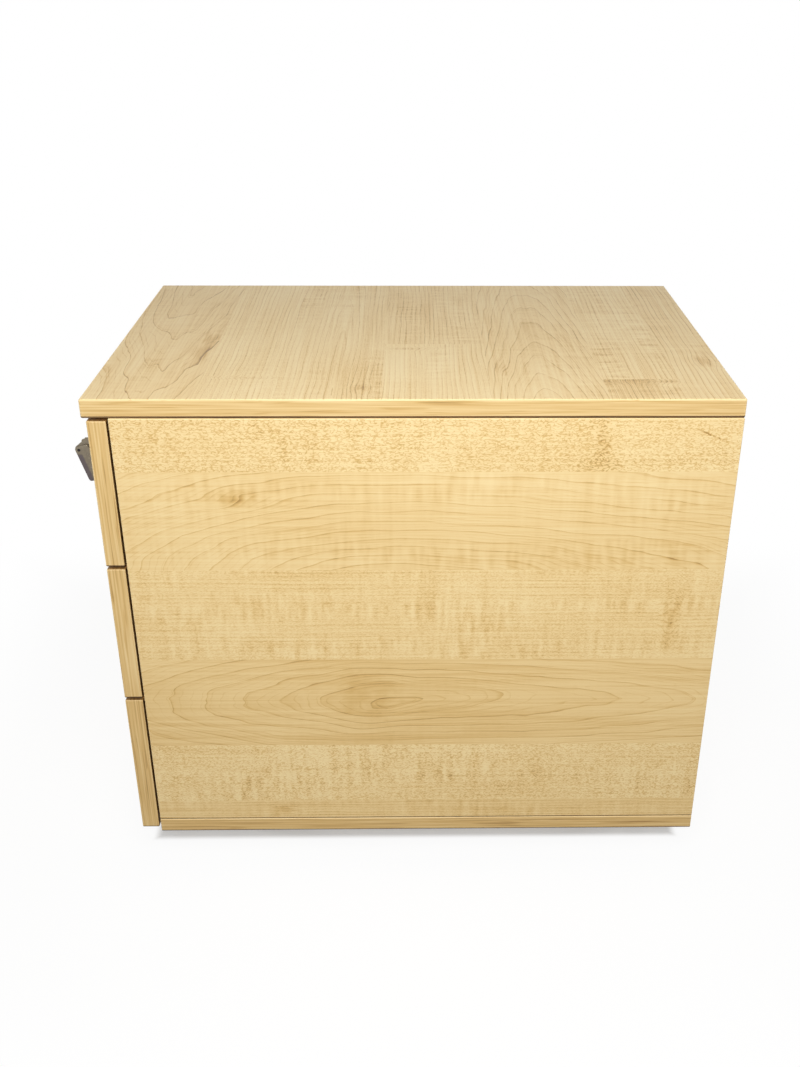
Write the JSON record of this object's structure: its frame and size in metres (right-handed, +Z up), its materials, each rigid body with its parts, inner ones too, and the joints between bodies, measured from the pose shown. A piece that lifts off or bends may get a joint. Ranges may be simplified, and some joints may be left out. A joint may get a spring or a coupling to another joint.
{
  "type": "mobile pedestal",
  "caption": "Low office drawer pedestal on swivel castors: a case of pale wood-faced boards with drawers on roller runners, bow handles and a central lock with a folding key.",
  "frame": {"origin": "on the floor, under the middle of the bounding box", "axes": "+Z up, drawers open towards -Y, +X to the right of someone in front of the drawers"},
  "size_m": [0.4, 0.6244, 0.54],
  "materials": {
    "faced_board": "satin maple-pattern melamine facing",
    "coated_steel": "light grey powder coat",
    "satin_handle": "satin nickel",
    "castor_steel": "bright zinc plate",
    "black_nylon": "matt black moulding",
    "white_nylon": "matt white moulding",
    "key_metal": "worn grey nickel plate",
    "barrel_metal": "bright nickel plate"
  },
  "bodies": {
    "carcass": {"top_panel": "faced_board", "side_panel_right": "faced_board", "side_panel_left": "faced_board", "back_panel": "faced_board", "base_panel": "faced_board", "runner_right_upper": "coated_steel", "runner_left_upper": "coated_steel", "runner_right_middle": "coated_steel", "runner_left_middle": "coated_steel", "runner_right_lower": "coated_steel", "runner_left_lower": "coated_steel", "lock_bar_guide": "white_nylon", "castor_plate_front_right": "castor_steel", "castor_plate_front_left": "castor_steel", "castor_plate_rear_right": "castor_steel", "castor_plate_rear_left": "castor_steel"},
    "drawer_upper": {"drawer_front_upper": "faced_board", "drawer_wall_right_upper": "coated_steel", "drawer_wall_left_upper": "coated_steel", "drawer_tray_upper": "coated_steel", "handle_upper": "satin_handle", "lock_housing": "key_metal"},
    "runner_rollers_upper": {"runner_roller_right_upper": "white_nylon", "runner_roller_left_upper": "white_nylon"},
    "drawer_rollers_upper": {"drawer_roller_right_upper": "white_nylon", "drawer_roller_left_upper": "white_nylon"},
    "drawer_middle": {"drawer_front_middle": "faced_board", "drawer_wall_right_middle": "coated_steel", "drawer_wall_left_middle": "coated_steel", "drawer_tray_middle": "coated_steel", "handle_middle": "satin_handle"},
    "runner_rollers_middle": {"runner_roller_right_middle": "white_nylon", "runner_roller_left_middle": "white_nylon"},
    "drawer_rollers_middle": {"drawer_roller_right_middle": "white_nylon", "drawer_roller_left_middle": "white_nylon"},
    "drawer_lower": {"drawer_front_lower": "faced_board", "drawer_wall_right_lower": "coated_steel", "drawer_wall_left_lower": "coated_steel", "drawer_tray_lower": "coated_steel", "handle_lower": "satin_handle"},
    "runner_rollers_lower": {"runner_roller_right_lower": "white_nylon", "runner_roller_left_lower": "white_nylon"},
    "drawer_rollers_lower": {"drawer_roller_right_lower": "white_nylon", "drawer_roller_left_lower": "white_nylon"},
    "lock_barrel": {"lock_barrel": "barrel_metal"},
    "locking_bar": {"locking_bar": "coated_steel"},
    "key": {"key_blade": "key_metal"},
    "key_bow": {"key_bow": "key_metal"},
    "castor_front_right": {"castor_fork_front_right": "castor_steel", "castor_axle_front_right": "castor_steel"},
    "wheel_front_right": {"castor_wheel_front_right": "black_nylon"},
    "castor_front_left": {"castor_fork_front_left": "castor_steel", "castor_axle_front_left": "castor_steel"},
    "wheel_front_left": {"castor_wheel_front_left": "black_nylon"},
    "castor_rear_right": {"castor_fork_rear_right": "castor_steel", "castor_axle_rear_right": "castor_steel"},
    "wheel_rear_right": {"castor_wheel_rear_right": "black_nylon"},
    "castor_rear_left": {"castor_fork_rear_left": "castor_steel", "castor_axle_rear_left": "castor_steel"},
    "wheel_rear_left": {"castor_wheel_rear_left": "black_nylon"}
  },
  "joints": [
    {"name": "drawer_upper_slide", "type": "slide", "parent": "carcass", "child": "drawer_upper", "axis": [0, -1, 0], "range_m": [0, 0.3847]},
    {"name": "runner_rollers_upper_spin", "type": "hinge", "parent": "carcass", "child": "runner_rollers_upper", "pos_m": [0, -0.2371, 0.386], "axis": [1, 0, 0], "continuous": true},
    {"name": "drawer_rollers_upper_spin", "type": "hinge", "parent": "drawer_upper", "child": "drawer_rollers_upper", "pos_m": [0, 0.22315, 0.386], "axis": [1, 0, 0], "continuous": true},
    {"name": "drawer_middle_slide", "type": "slide", "parent": "carcass", "child": "drawer_middle", "axis": [0, -1, 0], "range_m": [0, 0.3847]},
    {"name": "runner_rollers_middle_spin", "type": "hinge", "parent": "carcass", "child": "runner_rollers_middle", "pos_m": [0, -0.2371, 0.235], "axis": [1, 0, 0], "continuous": true},
    {"name": "drawer_rollers_middle_spin", "type": "hinge", "parent": "drawer_middle", "child": "drawer_rollers_middle", "pos_m": [0, 0.22315, 0.235], "axis": [1, 0, 0], "continuous": true},
    {"name": "drawer_lower_slide", "type": "slide", "parent": "carcass", "child": "drawer_lower", "axis": [0, -1, 0], "range_m": [0, 0.3847]},
    {"name": "runner_rollers_lower_spin", "type": "hinge", "parent": "carcass", "child": "runner_rollers_lower", "pos_m": [0, -0.2371, 0.078], "axis": [1, 0, 0], "continuous": true},
    {"name": "drawer_rollers_lower_spin", "type": "hinge", "parent": "drawer_lower", "child": "drawer_rollers_lower", "pos_m": [0, 0.22315, 0.078], "axis": [1, 0, 0], "continuous": true},
    {"name": "lock_turn", "type": "hinge", "parent": "drawer_upper", "child": "lock_barrel", "pos_m": [0.159, -0.28385, 0.481], "axis": [0, -1, 0], "range_deg": [0, 90]},
    {"name": "locking_bar_slide", "type": "slide", "parent": "carcass", "child": "locking_bar", "axis": [0, 0, 1], "range_m": [0, 0.008]},
    {"name": "key_withdraw", "type": "slide", "parent": "lock_barrel", "child": "key", "axis": [0, -1, 0], "range_m": [0, 0.03]},
    {"name": "key_fold", "type": "hinge", "parent": "key", "child": "key_bow", "pos_m": [0.159, -0.30505, 0.476], "axis": [-1, 0, 0], "range_deg": [0, 107]},
    {"name": "castor_front_right_swivel", "type": "hinge", "parent": "carcass", "child": "castor_front_right", "pos_m": [0.13, -0.20385, 0.0417], "axis": [0, 0, 1], "continuous": true},
    {"name": "wheel_front_right_spin", "type": "hinge", "parent": "castor_front_right", "child": "wheel_front_right", "pos_m": [0.13, -0.18785, 0.0175], "axis": [1, 0, 0], "continuous": true},
    {"name": "castor_front_left_swivel", "type": "hinge", "parent": "carcass", "child": "castor_front_left", "pos_m": [-0.13, -0.20385, 0.0417], "axis": [0, 0, 1], "continuous": true},
    {"name": "wheel_front_left_spin", "type": "hinge", "parent": "castor_front_left", "child": "wheel_front_left", "pos_m": [-0.13, -0.18785, 0.0175], "axis": [1, 0, 0], "continuous": true},
    {"name": "castor_rear_right_swivel", "type": "hinge", "parent": "carcass", "child": "castor_rear_right", "pos_m": [0.13, 0.25215, 0.0417], "axis": [0, 0, 1], "continuous": true},
    {"name": "wheel_rear_right_spin", "type": "hinge", "parent": "castor_rear_right", "child": "wheel_rear_right", "pos_m": [0.13, 0.26815, 0.0175], "axis": [1, 0, 0], "continuous": true},
    {"name": "castor_rear_left_swivel", "type": "hinge", "parent": "carcass", "child": "castor_rear_left", "pos_m": [-0.13, 0.25215, 0.0417], "axis": [0, 0, 1], "continuous": true},
    {"name": "wheel_rear_left_spin", "type": "hinge", "parent": "castor_rear_left", "child": "wheel_rear_left", "pos_m": [-0.13, 0.26815, 0.0175], "axis": [1, 0, 0], "continuous": true}
  ],
  "couplings": [
    {"joint": "runner_rollers_upper_spin", "follows": "drawer_upper_slide", "rad_per_m": 117.65},
    {"joint": "drawer_rollers_upper_spin", "follows": "drawer_upper_slide", "rad_per_m": 117.65},
    {"joint": "runner_rollers_middle_spin", "follows": "drawer_middle_slide", "rad_per_m": 117.65},
    {"joint": "drawer_rollers_middle_spin", "follows": "drawer_middle_slide", "rad_per_m": 117.65},
    {"joint": "runner_rollers_lower_spin", "follows": "drawer_lower_slide", "rad_per_m": 117.65},
    {"joint": "drawer_rollers_lower_spin", "follows": "drawer_lower_slide", "rad_per_m": 117.65},
    {"joint": "locking_bar_slide", "follows": "lock_turn", "m_per_rad": 0.005092}
  ]
}
